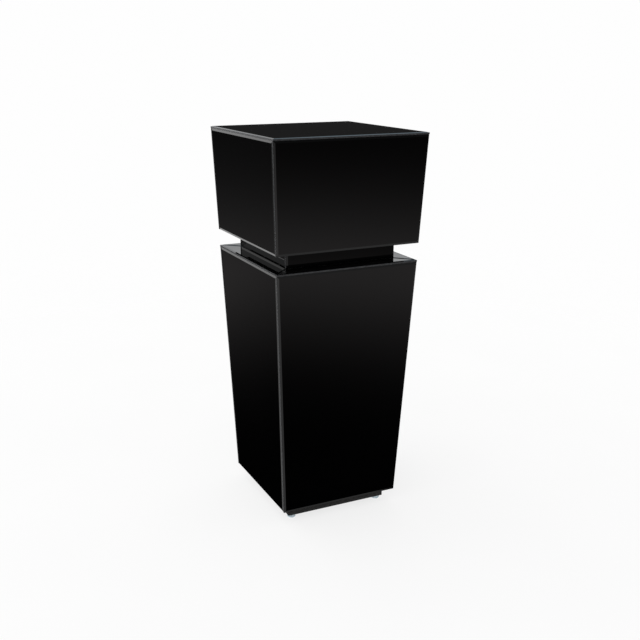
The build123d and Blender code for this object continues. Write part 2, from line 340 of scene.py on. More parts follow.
@dataclass(frozen=True)
class Finish:
    """A material with a name of its own, made once."""

    name: str

    def material(self) -> bpy.types.Material:
        """The finish as a material."""
        found = bpy.data.materials.get(self.name)
        if found:
            return found
        made = bpy.data.materials.new(self.name)
        graph = blank_graph(made)
        shader = graph.add("ShaderNodeBsdfPrincipled", self.look(graph))
        graph.add("ShaderNodeOutputMaterial", {0: shader.outputs[0]})
        return made

    def look(self, graph: Graph) -> dict[str, Any]:
        """What feeds the shader: this finish's colour, roughness, relief and fixed values."""
        raise NotImplementedError


@dataclass(frozen=True)
class GlassFinish(Finish):
    """Black float glass: a deep body under a hard polished face."""

    body: Colour = (0.0003, 0.0003, 0.00035)
    lift: float = 1.5
    dust_colour: Colour = (0.32, 0.31, 0.29)
    polish: float = 0.012
    handled: float = 0.05
    smudge: float = 0.5
    dust: float = 0.25
    scratch: float = 0.3
    wave: float = 0.02 * MM

    def look(self, graph: Graph) -> dict[str, Any]:
        """Smudges and hairlines in the gloss, dust on what faces up, and the slow wave of float glass."""
        dust = graph.effect("settled_dust", Scale=800.0, Amount=self.dust)["Mask"]
        smudge = graph.effect("smudges", Scale=8.0, Amount=self.smudge)["Mask"]
        hairline = graph.effect("hairline_scratches", Scale=1.6, Amount=self.scratch)["Mask"]
        tone = graph.spread(graph.noise(graph.object_place(), scale=3.0, detail=2.0))
        body = graph.mix(tone, self.body, tuple(self.lift * level for level in self.body))
        marks = graph.math("MAXIMUM", smudge, graph.math("MAXIMUM", hairline, dust))
        wave = graph.noise(graph.object_place(), scale=5.0, detail=1.0)
        return {
            "Base Color": graph.mix(dust, body, self.dust_colour),
            "Roughness": graph.mix_number(marks, self.polish, self.handled),
            "Normal": graph.bump(wave, self.wave),
            "IOR": GLASS_IOR,
        }


@dataclass(frozen=True)
class GroundGlassFinish(Finish):
    """The sawn and ground edge of a black pane: frosted, with fine wheel marks along it."""

    pale: Colour = (0.028, 0.029, 0.031)
    deep: Colour = (0.012, 0.012, 0.013)
    chipped: Colour = (0.055, 0.057, 0.06)
    smooth: float = 0.2
    rough: float = 0.36
    relief: float = 0.04 * MM

    def look(self, graph: Graph) -> dict[str, Any]:
        """Mottled grey with a fine tooth, chipped a little paler along the arrises."""
        place = graph.object_place()
        frost = graph.noise(place, scale=420.0, detail=4.0, rough=0.6)
        wheel = graph.noise(graph.object_place(stretch=(1.0, 1.0, 14.0)), scale=130.0, detail=3.0)
        worn = graph.effect("edge_wear", Scale=240.0, Amount=0.8)["Mask"]
        ground = graph.mix(graph.spread(frost), self.deep, self.pale)
        return {
            "Base Color": graph.mix(worn, ground, self.chipped),
            "Roughness": graph.spread(wheel, self.smooth, self.rough),
            "Normal": graph.bump(frost, self.relief, strength=0.5),
            "IOR": GLASS_IOR,
        }


@dataclass(frozen=True)
class LacquerFinish(Finish):
    """Satin black lacquer with orange peel and rubbed edges."""

    coat: Colour = (0.007, 0.007, 0.0074)
    lift: float = 1.7
    rubbed: Colour = (0.04, 0.038, 0.036)
    dust_colour: Colour = (0.2, 0.19, 0.18)
    satin: float = 0.3
    dull: float = 0.46
    peel: float = 0.06 * MM

    def look(self, graph: Graph) -> dict[str, Any]:
        """Satin black with slight cloudiness, peel in the relief, dust and edge wear."""
        place = graph.object_place()
        cloud = graph.remap(graph.noise(place, scale=11.0, detail=4.0), low=0.3, high=0.75)
        worn = graph.effect("edge_wear", Scale=120.0, Amount=0.55)["Mask"]
        dust = graph.effect("settled_dust", Scale=700.0, Amount=0.3)["Mask"]
        smudge = graph.effect("smudges", Scale=12.0, Amount=0.6)["Mask"]
        coat = graph.mix(cloud, self.coat, tuple(self.lift * level for level in self.coat))
        coat = graph.mix(worn, coat, self.rubbed)
        marks = graph.math("MAXIMUM", cloud, graph.math("MAXIMUM", worn, smudge))
        peel = graph.noise(place, scale=420.0, detail=2.0, rough=0.45)
        return {
            "Base Color": graph.mix(dust, coat, self.dust_colour),
            "Roughness": graph.mix_number(marks, self.satin, self.dull),
            "Normal": graph.bump(peel, self.peel, strength=0.7),
        }


@dataclass(frozen=True)
class BoardFinish(Finish):
    """Black-dyed fibreboard: matt, with short matted fibres."""

    dark: Colour = (0.018, 0.0165, 0.0155)
    pale: Colour = (0.042, 0.038, 0.035)
    relief: float = 0.12 * MM

    def look(self, graph: Graph) -> dict[str, Any]:
        """Matted fibres in the colour and the relief."""
        place = graph.object_place()
        fibre = graph.noise(place, scale=900.0, detail=6.0, rough=0.7)
        clump = graph.noise(place, scale=60.0, detail=3.0)
        shade = graph.spread(graph.product(fibre, graph.math("ADD", clump, 0.5)))
        return {
            "Base Color": graph.mix(shade, self.dark, self.pale),
            "Roughness": graph.remap(fibre, low=0.2, high=0.8, to_low=0.72, to_high=0.92),
            "Normal": graph.bump(fibre, self.relief, strength=0.6),
            "Specular IOR Level": 0.3,
        }


@dataclass(frozen=True)
class TimberFinish(Finish):
    """Sawn softwood with its growth rings along the post."""

    early: Colour = (0.62, 0.44, 0.25)
    late: Colour = (0.36, 0.2, 0.09)
    pore: Colour = (0.3, 0.18, 0.09)
    relief: float = 0.2 * MM

    def look(self, graph: Graph) -> dict[str, Any]:
        """Rings and pores in the colour, saw marks in the relief."""
        grain = graph.effect("fibre_grain", Scale=650.0, Bands=55.0)
        rings = graph.mix(grain["Bands"], self.early, self.late)
        pores = graph.product(graph.remap(grain["Fine"], low=0.35, high=0.65), 0.4)
        return {
            "Base Color": graph.mix(pores, rings, self.pore),
            "Roughness": graph.remap(grain["Fine"], low=0.2, high=0.8, to_low=0.55, to_high=0.8),
            "Normal": graph.bump(grain["Fine"], self.relief, strength=0.5),
        }


@dataclass(frozen=True)
class FoamFinish(Finish):
    """Dark closed-cell foam tape."""

    cell: Colour = (0.03, 0.03, 0.031)
    wall: Colour = (0.07, 0.07, 0.072)
    relief: float = 0.2 * MM

    def look(self, graph: Graph) -> dict[str, Any]:
        """Tiny closed cells in the colour and the relief."""
        inputs = {"Vector": graph.object_place(), "Scale": 1400.0}
        cells = graph.add("ShaderNodeTexVoronoi", inputs).outputs["Distance"]
        return {
            "Base Color": graph.mix(graph.remap(cells, low=0.1, high=0.6), self.cell, self.wall),
            "Roughness": graph.remap(cells, low=0.0, high=0.7, to_low=0.7, to_high=0.9),
            "Normal": graph.bump(cells, self.relief, strength=0.8),
        }


@dataclass(frozen=True)
class SteelFinish(Finish):
    """Bright zinc-plated steel, a little clouded."""

    bright: Colour = (0.66, 0.67, 0.68)
    clouded: Colour = (0.47, 0.48, 0.5)
    relief: float = 0.03 * MM

    def look(self, graph: Graph) -> dict[str, Any]:
        """Spangled plating with fine brush marks."""
        place = graph.object_place()
        spangle = graph.add("ShaderNodeTexVoronoi", {"Vector": place, "Scale": 520.0}).outputs["Distance"]
        cloud = graph.spread(graph.noise(place, scale=130.0, detail=4.0))
        brushed = graph.noise(graph.object_place(stretch=(1.0, 1.0, 26.0)), scale=240.0, detail=3.0)
        tone = graph.product(cloud, graph.remap(spangle, low=0.0, high=0.8, to_low=0.6, to_high=1.0))
        return {
            "Base Color": graph.mix(tone, self.bright, self.clouded),
            "Roughness": graph.remap(brushed, low=0.25, high=0.75, to_low=0.22, to_high=0.4),
            "Normal": graph.bump(brushed, self.relief, strength=0.5),
            "Metallic": 1.0,
        }


@dataclass(frozen=True)
class NylonFinish(Finish):
    """Translucent, faintly blue nylon, smooth from the mould and lightly scuffed."""

    clear: Colour = (0.5, 0.6, 0.66)
    milky: Colour = (0.68, 0.77, 0.82)
    scatter: Triple = (0.8, 0.95, 1.0)
    depth: float = 4.0 * MM
    relief: float = 0.04 * MM

    def look(self, graph: Graph) -> dict[str, Any]:
        """A milky body with light in it, and scuffs in the gloss."""
        place = graph.object_place()
        cloud = graph.spread(graph.noise(place, scale=260.0, detail=3.0))
        scuff = graph.noise(graph.object_place(stretch=(1.0, 1.0, 4.0)), scale=700.0, detail=3.0)
        scuff = graph.remap(scuff, low=0.5, high=0.75)
        return {
            "Base Color": graph.mix(cloud, self.clear, self.milky),
            "Roughness": graph.mix_number(scuff, 0.2, 0.38),
            "Normal": graph.bump(cloud, self.relief, strength=0.4),
            "Subsurface Weight": 0.55,
            "Subsurface Radius": self.scatter,
            "Subsurface Scale": self.depth,
            "Transmission Weight": 0.25,
            "IOR": NYLON_IOR,
        }


POLISHED = GlassFinish("glass_polished_black")
POLISHED_TOP = GlassFinish("glass_display_top", dust=0.3, scratch=0.7, smudge=0.8)
BEVELLED = GlassFinish("glass_bevel", body=(0.0008, 0.0008, 0.0009), polish=0.03, handled=0.07,
                       wave=0.03 * MM)
GROUND = GroundGlassFinish("glass_ground_edge")
PAINTED_BACK = LacquerFinish("glass_painted_back", satin=0.4, dull=0.55)
LACQUER = LacquerFinish("satin_black_lacquer")
BOARD = BoardFinish("dyed_fibreboard")
TIMBER = TimberFinish("sawn_softwood")
FOAM = FoamFinish("foam_mirror_tape")
STEEL = SteelFinish("zinc_plated_steel")
NYLON = NylonFinish("clear_nylon_pad")


# ---- Meshes ----


def node_form(node: str) -> Form:
    """A merged copy of a frame node, with its flat faces whole, which the caller frees."""
    form = bmesh.new()
    form.from_mesh(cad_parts[node].data)
    bmesh.ops.remove_doubles(form, verts=form.verts, dist=MERGE_GAP)
    bmesh.ops.dissolve_limit(form, angle_limit=math.radians(FLAT_ANGLE), verts=form.verts,
                             edges=form.edges)
    form.normal_update()
    return form


def round_arrises(form: Form, edges: Sequence[bmesh.types.BMEdge], width: float) -> None:
    """Rounds edges over to a width and marks the new faces for wear."""
    before = set(form.faces)
    bmesh.ops.bevel(form, geom=list(edges), offset=width, offset_type="OFFSET", segments=2,
                    profile=0.5, affect="EDGES", clamp_overlap=True)
    layer = form.verts.layers.float.get("arris") or form.verts.layers.float.new("arris")
    for face in form.faces:
        if face not in before:
            for vertex in face.verts:
                vertex[layer] = 1.0


def dressed(name: str, mesh: bpy.types.Mesh, materials: Iterable[bpy.types.Material], body: str,
            slot: Slot, *nodes: str, smooth: float = 0.0) -> bpy.types.Object:
    """Links a mesh as a piece, gives it its materials, hides the frame nodes that it replaces and hangs it
    on its body.

    Args:
        name: The piece's name.
        mesh: Its mesh.
        materials: Its materials, in the order of the faces' indexes. They replace any that it has.
        body: The body that it moves with.
        slot: The record's slot for its finish. It is not used.
        nodes: The frame nodes that it replaces.
        smooth: The angle in degrees up to which faces shade as one, or 0 for flat faces.

    Returns:
        The piece.
    """
    mesh.name = name
    # Clearing the list, even an empty one, would set every face back to the first material.
    if mesh.materials:
        mesh.materials.clear()
    for material in materials:
        mesh.materials.append(material)
    if smooth:
        mesh.shade_smooth()
        mesh.set_sharp_from_angle(angle=math.radians(smooth))
    piece = linked(name, mesh)
    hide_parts(*nodes)
    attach(piece, body)
    LOG.info("%s: %d faces on %s", name, len(mesh.polygons), body)
    return piece


def dress_node(node: str, finish: Finish) -> None:
    """Gives a frame node that stays in view its material."""
    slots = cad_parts[node].data.materials
    slots.clear()
    slots.append(finish.material())
    LOG.info("%s: %s", node, finish.name)


# ---- Glass ----


class Facet(IntEnum):
    """The kinds of face on a pane, as the indexes of their materials."""

    POLISHED = 0
    BEVEL = 1
    GROUND = 2
    BACK = 3


@dataclass
class GlassPane:
    """One bevelled pane: polished face, polished bevels, ground edges and a painted back."""

    node: str
    outward: Vector
    face: GlassFinish = POLISHED
    arris: float = 0.3 * MM
    face_angle: float = 1.0
    bevel_angle: float = 25.0
    back_angle: float = 175.0

    def build(self) -> bpy.types.Object:
        """Makes the pane from its node and dresses each of its faces by the way it turns."""
        form = node_form(self.node)
        main = max(form.faces, key=lambda face: face.calc_area() * face.normal.dot(self.outward))
        normal = main.normal.copy()
        self.mark(form, normal)
        sharp = [edge for edge in form.edges if self.is_arris(edge)]
        round_arrises(form, sharp, self.arris)
        form.normal_update()
        self.mark(form, normal)
        finishes = (self.face, BEVELLED, GROUND, PAINTED_BACK)
        materials = [finish.material() for finish in finishes]
        return dressed(f"pane_{self.node}", mesh_of(form), materials, PLINTH, Slot.GLASS, self.node)

    def mark(self, form: Form, normal: Vector) -> None:
        """Gives every face the index of its kind."""
        for face in form.faces:
            face.material_index = self.kind(face, normal)

    def kind(self, face: bmesh.types.BMFace, normal: Vector) -> Facet:
        """The kind of a face, by how far it turns from the polished one."""
        angle = math.degrees(face.normal.angle(normal, 0.0))
        if angle < self.face_angle:
            return Facet.POLISHED
        if angle < self.bevel_angle:
            return Facet.BEVEL
        return Facet.BACK if angle > self.back_angle else Facet.GROUND

    def is_arris(self, edge: bmesh.types.BMEdge) -> bool:
        """Whether an edge borders a ground edge and is sharp enough to be arrissed."""
        kinds = {face.material_index for face in edge.link_faces}
        return Facet.GROUND in kinds and edge.calc_face_angle(0.0) > math.radians(self.bevel_angle)


class Cladding:
    """All the glass: the two boxes, the neck, the ledge round it and the display top."""

    def build(self) -> list[bpy.types.Object]:
        """Makes every pane."""
        up = Vector((0, 0, 1))
        panes = [GlassPane("top_glass", up, POLISHED_TOP)]
        for side, outward in SIDES.items():
            panes.append(GlassPane(f"ledge_{side}_glass", up, POLISHED_TOP))
            for box in BOXES:
                panes.append(GlassPane(f"{box}_{side}_glass", Vector(outward)))
        return [pane.build() for pane in panes]


# ---- Threaded fasteners, cut and repeated by one geometry tree ----


class ThreadTree:
    """A geometry tree that cuts a helical thread into a shank and repeats it at marked places."""

    shank_share: Pair = (0.3, 1.02)
    least_radius: float = 1e-6
    inputs: tuple[tuple[str, str], ...] = (
        ("Geometry", "NodeSocketGeometry"),
        ("Places", "NodeSocketObject"),
        ("Shank Radius", "NodeSocketFloat"),
        ("Pitch", "NodeSocketFloat"),
        ("Depth", "NodeSocketFloat"),
        ("Thread Start", "NodeSocketFloat"),
        ("Thread End", "NodeSocketFloat"),
        ("Turn Range", "NodeSocketFloat"),
        ("Turn Seed", "NodeSocketInt"),
        ("Finish", "NodeSocketMaterial"),
    )

    def __init__(self) -> None:
        """Builds the tree once."""
        self.tree = bpy.data.node_groups.new("helical_thread", "GeometryNodeTree")
        self.tree.is_modifier = True
        for name, kind in self.inputs:
            self.tree.interface.new_socket(name, in_out="INPUT", socket_type=kind)
        self.tree.interface.new_socket("Geometry", in_out="OUTPUT", socket_type="NodeSocketGeometry")
        self.graph = Graph(self.tree)
        self.given = self.graph.add("NodeGroupInput").outputs
        self.repeat(self.cut())

    def identifiers(self) -> dict[str, str]:
        """The identifier of each named input."""
        items = [item for item in self.tree.interface.items_tree if item.item_type == "SOCKET"]
        return {item.name: item.identifier for item in items if item.in_out == "INPUT"}

    def cut(self) -> Socket:
        """Sinks a helical groove into every point that lies on the threaded stretch of the shank."""
        graph, given = self.graph, self.given
        place = graph.add("ShaderNodeSeparateXYZ", {0: graph.add("GeometryNodeInputPosition").outputs[0]})
        x, y, z = place.outputs
        square = graph.math("ADD", graph.product(x, x), graph.product(y, y))
        radius = graph.math("SQRT", square)
        turn = graph.math("DIVIDE", graph.math("ARCTAN2", y, x), math.tau)
        climb = graph.math("DIVIDE", z, given["Pitch"])
        phase = graph.math("FRACT", graph.math("SUBTRACT", climb, turn))
        groove = graph.math("ABSOLUTE", graph.math("SUBTRACT", graph.product(phase, 2.0), 1.0))
        past_start = graph.math("SUBTRACT", z, given["Thread Start"])
        to_end = graph.math("SUBTRACT", given["Thread End"], z)
        above = graph.math("DIVIDE", past_start, given["Pitch"], clamp=True)
        below = graph.math("DIVIDE", to_end, given["Pitch"], clamp=True)
        share = graph.math("DIVIDE", radius, given["Shank Radius"])
        inner, outer = self.shank_share
        within = graph.math("LESS_THAN", share, outer)
        on_shank = graph.product(within, graph.math("GREATER_THAN", share, inner))
        sink = graph.product(groove, given["Depth"], above, below, on_shank)
        left = graph.math("SUBTRACT", radius, sink)
        kept = graph.math("DIVIDE", left, graph.math("MAXIMUM", radius, self.least_radius))
        inputs = {0: graph.product(x, kept), 1: graph.product(y, kept), 2: z}
        moved = graph.add("ShaderNodeCombineXYZ", inputs)
        inputs = {"Geometry": given["Geometry"], "Position": moved.outputs[0]}
        return graph.add("GeometryNodeSetPosition", inputs).outputs[0]

    def repeat(self, fastener: Socket) -> None:
        """Puts the fastener at every place, turned at random, and ends the tree in one real mesh."""
        graph, given = self.graph, self.given
        places = graph.add("GeometryNodeObjectInfo", {"Object": given["Places"]})
        points = graph.add("GeometryNodeMeshToPoints", {"Mesh": places.outputs["Geometry"]})
        chance = graph.add("FunctionNodeRandomValue", {"Seed": given["Turn Seed"]}, data_type="FLOAT")
        limits = {socket.name: socket for socket in chance.inputs if socket.enabled}
        graph.feed(limits["Min"], 0.0)
        graph.feed(limits["Max"], given["Turn Range"])
        angle = next(socket for socket in chance.outputs if socket.enabled)
        turned = graph.add("FunctionNodeAxisAngleToRotation", {"Axis": (0.0, 0.0, 1.0), "Angle": angle})
        inputs = {"Points": points.outputs[0], "Instance": fastener, "Rotation": turned.outputs[0]}
        copies = graph.add("GeometryNodeInstanceOnPoints", inputs)
        real = graph.add("GeometryNodeRealizeInstances", {"Geometry": copies.outputs[0]})
        inputs = {"Geometry": real.outputs[0], "Material": given["Finish"]}
        final = graph.add("GeometryNodeSetMaterial", inputs)
        graph.add("NodeGroupOutput", {0: final.outputs[0]})


@dataclass
class ThreadedSet:
    """The fasteners of one node: each a copy of the first, with a real thread on its shank."""

    node: str
    body: str
    radius: float
    pitch: float
    depth: float
    start: float
    end: float
    turn_range: float = math.tau
    seed: int = 7
    rows_per_turn: int = 4

    def build(self, threads: ThreadTree) -> bpy.types.Object:
        """Makes the node's fasteners as one piece, with the tree that cuts and repeats them."""
        form, places = self.parts()
        blank = linked("blank", mesh_of(form))
        marks = linked("marks", bpy.data.meshes.new("marks"))
        marks.data.from_pydata(places, [], [])
        modifier = blank.modifiers.new("thread", "NODES")
        modifier.node_group = threads.tree
        values = {
            "Places": marks,
            "Shank Radius": self.radius,
            "Pitch": self.pitch,
            "Depth": self.depth,
            "Thread Start": self.start,
            "Thread End": self.end,
            "Turn Range": self.turn_range,
            "Turn Seed": self.seed,
            "Finish": STEEL.material(),
        }
        identifiers = threads.identifiers()
        for name, value in values.items():
            modifier[identifiers[name]] = value
        bpy.context.view_layer.update()
        evaluated = blank.evaluated_get(bpy.context.evaluated_depsgraph_get())
        mesh = bpy.data.meshes.new_from_object(evaluated)
        for helper in (blank, marks):
            bpy.data.objects.remove(helper)
        return dressed(f"threaded_{self.node}", mesh, [STEEL.material()], self.body, Slot.STEEL,
                       self.node, smooth=SHADE_ANGLE)

    def parts(self) -> tuple[Form, list[Vector]]:
        """The first fastener on the Z axis, with rows of points along its thread, and every one's place."""
        form = node_form(self.node)
        shells = self.shells(form)
        places = [self.middle(shell) for shell in shells]
        keep = set(shells[0])
        bmesh.ops.delete(form, geom=[v for v in form.verts if v not in keep], context="VERTS")
        bmesh.ops.translate(form, verts=form.verts, vec=-places[0])
        step = self.pitch / self.rows_per_turn
        rows = math.floor((self.end - self.start) / step)
        for row in range(rows + 1):
            everything = [*form.verts, *form.edges, *form.faces]
            bmesh.ops.bisect_plane(form, geom=everything, plane_co=(0, 0, self.start + row * step),
                                   plane_no=(0, 0, 1), dist=CUT_GAP)
        return form, places

    @staticmethod
    def shells(form: Form) -> list[list[bmesh.types.BMVert]]:
        """The vertices of each separate solid, in a fixed order."""
        left, found = dict.fromkeys(form.verts), []
        while left:
            start = next(iter(left))
            shell, reach = {start: None}, [start]
            while reach:
                for edge in reach.pop().link_edges:
                    for vertex in edge.verts:
                        if vertex not in shell:
                            shell[vertex] = None
                            reach.append(vertex)
            for vertex in shell:
                left.pop(vertex)
            found.append(list(shell))
        return found

    @staticmethod
    def middle(shell: Sequence[bmesh.types.BMVert]) -> Vector:
        """The point on the floor under a fastener's axis."""
        xs = [vertex.co.x for vertex in shell]
        ys = [vertex.co.y for vertex in shell]
        return Vector(((min(xs) + max(xs)) / 2, (min(ys) + max(ys)) / 2, 0.0))


@dataclass
class Fasteners:
    """Every threaded piece, and the plain washers, nuts and inserts that go with them."""

    wood_pitch: float = 1.8 * MM
    wood_depth: float = 0.55 * MM
    bolt_pitch: float = 1.25 * MM
    bolt_depth: float = 0.65 * MM
    bolt_thread: float = 26 * MM
    stud_pitch: float = 1.0 * MM
    stud_depth: float = 0.55 * MM
    screw_radius: float = 2.0 * MM
    bolt_radius: float = 4.0 * MM
    stud_radius: float = 3.0 * MM
    head: float = 11.0 * MM
    collar_top: float = 12.4 * MM
    screw_tip: float = 0.5 * MM
    bolt_tip: float = 0.3 * MM
    plain: tuple[str, ...] = ("neck_nuts", "neck_washers", "foot_inserts")

    def build(self) -> list[bpy.types.Object]:
        """Makes the threaded pieces and dresses the plain ones."""
        threads = ThreadTree()
        sets = []
        for seed, node in enumerate(("upper_bottom_screws", "lower_bottom_screws", "base_screws")):
            low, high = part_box(node)
            head_up = node == "base_screws"
            start = low.z + (self.screw_tip if head_up else self.head)
            end = high.z - (self.head if head_up else self.screw_tip)
            sets.append(ThreadedSet(node, PLINTH, self.screw_radius, self.wood_pitch, self.wood_depth,
                                    start, end, seed=seed))
        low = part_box("neck_bolts")[0]
        sets.append(ThreadedSet("neck_bolts", PLINTH, self.bolt_radius, self.bolt_pitch, self.bolt_depth,
                                low.z + self.bolt_tip, low.z + self.bolt_thread, seed=5))
        for corner in CORNERS:
            node = f"foot_stud_{corner}"
            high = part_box(node)[1]
            sets.append(ThreadedSet(node, f"stud_{corner}", self.stud_radius, self.stud_pitch,
                                    self.stud_depth, self.collar_top, high.z - self.bolt_tip,
                                    turn_range=0.0))
        for node in self.plain:
            dress_node(node, STEEL)
        return [each.build(threads) for each in sets]


# ---- Boards, base and feet ----


@dataclass
class Carcass:
    """The boards, posts and tape behind the glass."""

    lacquered: tuple[str, ...] = ("upper_bottom_board", "lower_bottom_board")
    boards: tuple[str, ...] = ("upper_top_board", "lower_top_board")
    posts: tuple[str, ...] = ("upper_corner_posts", "lower_corner_posts")
    tapes: tuple[str, ...] = ("upper_glass_tape", "lower_glass_tape", "neck_glass_tape", "top_glass_tape",
                              "ledge_glass_tape")

    def dress(self) -> None:
        """Gives each node of the carcass its finish."""
        for nodes, finish in ((self.lacquered, LACQUER), (self.boards, BOARD), (self.posts, TIMBER),
                              (self.tapes, FOAM)):
            for node in nodes:
                dress_node(node, finish)
        for side in SIDES:
            for box in BOXES:
                dress_node(f"{box}_{side}_board", BOARD)


@dataclass
class BasePlate:
    """The recessed plate under the lower box, with its long edges eased."""

    node: str = "base_plate"
    ease: float = 0.7 * MM
    rim: float = 3.0 * MM
    sharp: float = 60.0

    def build(self) -> bpy.types.Object:
        """Makes the plate."""
        form = node_form(self.node)
        half_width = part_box(self.node)[1].x
        outline = [edge for edge in form.edges if self.on_outline(edge, half_width)]
        round_arrises(form, outline, self.ease)
        return dressed("lacquered_base_plate", mesh_of(form), [LACQUER.material()], PLINTH, Slot.LACQUER,
                       self.node, smooth=SHADE_ANGLE)

    def on_outline(self, edge: bmesh.types.BMEdge, half_width: float) -> bool:
        """Whether an edge runs round the plate's upper or lower outline."""
        if edge.calc_face_angle(0.0) < math.radians(self.sharp):
            return False
        for vertex in edge.verts:
            across = max(abs(vertex.co.x), abs(vertex.co.y))
            if across < half_width - self.rim:
                return False
        heights = {round(vertex.co.z / MM, 2) for vertex in edge.verts}
        return len(heights) == 1


@dataclass
class Feet:
    """Four clear nylon pads, each on the body of its own foot."""

    shade_angle: float = 40.0

    def build(self) -> list[bpy.types.Object]:
        """Makes the pads."""
        made = []
        for corner in CORNERS:
            node = f"foot_pad_{corner}"
            mesh = mesh_of(node_form(node))
            made.append(dressed(f"nylon_pad_{corner}", mesh, [NYLON.material()],
                                f"pad_{corner}", Slot.NYLON, node, smooth=self.shade_angle))
        return made


# ---- Studio ----


@dataclass(frozen=True)
class SoftBox:
    """A soft panel of light, placed by direction. Azimuth runs from the front towards the right."""

    azimuth: float
    half_width: float
    low: float
    high: float
    level: float
    soft: float = 1.5


@dataclass
class Studio:
    """A pale floor, soft light from all round, and the camera. Angles are in degrees."""

    backdrop: float = 0.99
    floor_glow: float = 0.78
    floor_radius: float = 4.0
    fade_start: float = 1.0
    fade_end: float = 3.2
    lens: float = 50.47
    sensor: float = 36.0
    azimuth: float = -24.37
    elevation: float = 14.9
    roll: float = -0.13
    distance: float = 2.2073
    across: float = -0.0646
    upward: float = 0.0601
    aim_height: float = CAD_BOX[1][2] / 2
    shift: Pair = (0.05, -0.0427)
    clip_end: float = 50.0
    band_azimuth: float = 26.0
    band_lift: Pair = (0.3, 1.2)
    band_strength: Pair = (0.23, 0.13)
    band_tint: Colour = (1.04, 0.985, 0.985)
    # The low band is a bell over elevation. Its pairs are for below and above its middle.
    band_middle: float = -16.28
    band_peak: float = 0.98
    band_power: float = 1.66
    band_width: Pair = (4.54, 4.29)
    band_rest: Pair = (0.004, 0.041)
    sky_low: Colour = (0.97, 0.985, 1.0)
    sky_high: Colour = (0.8, 1.0, 1.15)
    cool_range: Pair = (20.0, 30.0)
    flag_soft: float = 15.0
    even_lean: Triple = (-0.5, 0.3, 0.0)
    floor_mottle: float = 0.006
    # The level of the high band of light, by elevation
    sky_profile: tuple[Pair, ...] = (
        (-90.0, 0.0), (-2.0, 0.0), (0.0, 0.012), (6.0, 0.014), (8.5, 0.03), (11.0, 0.5), (12.5, 0.9),
        (14.2, 0.68), (16.0, 0.66), (19.0, 0.95), (20.7, 1.0), (22.5, 0.7), (25.0, 0.5), (31.0, 0.66),
        (34.0, 0.36), (40.0, 0.34), (46.0, 0.16), (64.0, 0.35), (90.0, 0.6),
    )
    # Where the high band is held down: azimuth, half width and the most that is left of it
    flags: tuple[Triple, ...] = ((30.0, 45.0, 0.05), (-157.0, 20.0, 0.38))
    boxes: tuple[SoftBox, ...] = field(default_factory=lambda: (
        SoftBox(-156.0, 11.0, -5.0, 5.2, 1.25),
        SoftBox(-170.5, 5.0, -31.0, -13.0, 1.1, 2.0),
        SoftBox(-129.0, 8.0, -36.0, -17.0, 1.0, 4.0),
        SoftBox(-129.0, 8.0, -19.0, 4.0, 0.26, 4.0),
        SoftBox(-4.5, 5.0, -38.0, -19.0, 0.65, 3.0),
        SoftBox(-4.5, 5.0, -19.0, -4.0, 0.35, 3.0),
        SoftBox(38.0, 11.0, -47.0, -38.0, 0.5, 2.0),
        SoftBox(28.0, 10.0, 5.0, 10.5, 0.25, 1.0),
        SoftBox(35.0, 16.0, -66.0, -50.0, 0.36, 3.0),
        SoftBox(-158.0, 15.0, -14.0, -5.5, 0.012, 4.0),
        SoftBox(104.0, 7.0, -30.0, 6.0, 0.8, 3.0),
        SoftBox(-66.0, 6.0, -30.0, 6.0, 0.6, 3.0),
    ))

    def build(self) -> None:
        """Sets up the view, the light, the floor and the camera."""
        bpy.context.scene.view_settings.view_transform = "Standard"
        self.light()
        self.floor()
        self.camera()

    def light(self) -> None:
        """A world that is a plain backdrop to the eye, soft boxes to gloss, and even light to the rest."""
        world = bpy.data.worlds.new("studio")
        bpy.context.scene.world = world
        graph = blank_graph(world)
        direction = graph.add("ShaderNodeTexCoord").outputs["Generated"]
        axes = graph.add("ShaderNodeSeparateXYZ", {0: direction}).outputs
        flipped = graph.product(axes[1], -1.0)
        azimuth = graph.math("DEGREES", graph.math("ARCTAN2", axes[0], flipped))
        elevation = graph.math("DEGREES", graph.math("ARCSINE", axes[2]))
        gloss = self.reflected(graph, azimuth, elevation)
        side = graph.add("ShaderNodeVectorMath", {0: direction, 1: self.even_lean}, operation="DOT_PRODUCT")
        even = graph.math("ADD", side.outputs["Value"], 1.0)
        path = graph.add("ShaderNodeLightPath").outputs
        seen = graph.mix(path["Is Glossy Ray"], graph.mix(0.0, even, even), gloss)
        plain = (self.backdrop, self.backdrop, self.backdrop)
        seen = graph.mix(path["Is Camera Ray"], seen, plain)
        background = graph.add("ShaderNodeBackground", {"Color": seen, "Strength": 1.0})
        graph.add("ShaderNodeOutputWorld", {0: background.outputs[0]})

    def reflected(self, graph: Graph, azimuth: Any, elevation: Any) -> Socket:
        """The light that the glass reflects, by direction in degrees: two bands and the boxes."""
        off_band = graph.math("RADIANS", graph.math("SUBTRACT", azimuth, self.band_azimuth))
        facing = graph.math("COSINE", off_band)
        lift, swing = self.band_lift
        lifted = graph.math("ADD", graph.math("ADD", elevation, lift), graph.product(facing, swing))
        base, sway = self.band_strength
        strength = graph.math("ADD", graph.product(facing, sway), base)
        low_light = graph.product(self.bell(graph, lifted), strength)
        high_light = self.profile(graph, elevation, self.sky_profile)
        for centre, half, cap in self.flags:
            flag = self.window(graph, azimuth, centre, half, self.flag_soft)
            high_light = graph.mix_number(flag, high_light, graph.math("MINIMUM", high_light, cap))
        cool = graph.remap(elevation, *self.cool_range)
        light = graph.scaled(graph.mix(cool, self.sky_low, self.sky_high), high_light)
        light = graph.both(light, graph.scaled(self.band_tint, low_light))
        for box in self.boxes:
            middle, half = (box.low + box.high) / 2, (box.high - box.low) / 2
            across = self.window(graph, azimuth, box.azimuth, box.half_width, box.soft)
            upright = self.window(graph, elevation, middle, half, box.soft)
            light = graph.both(light, graph.product(across, upright, box.level))
        return light

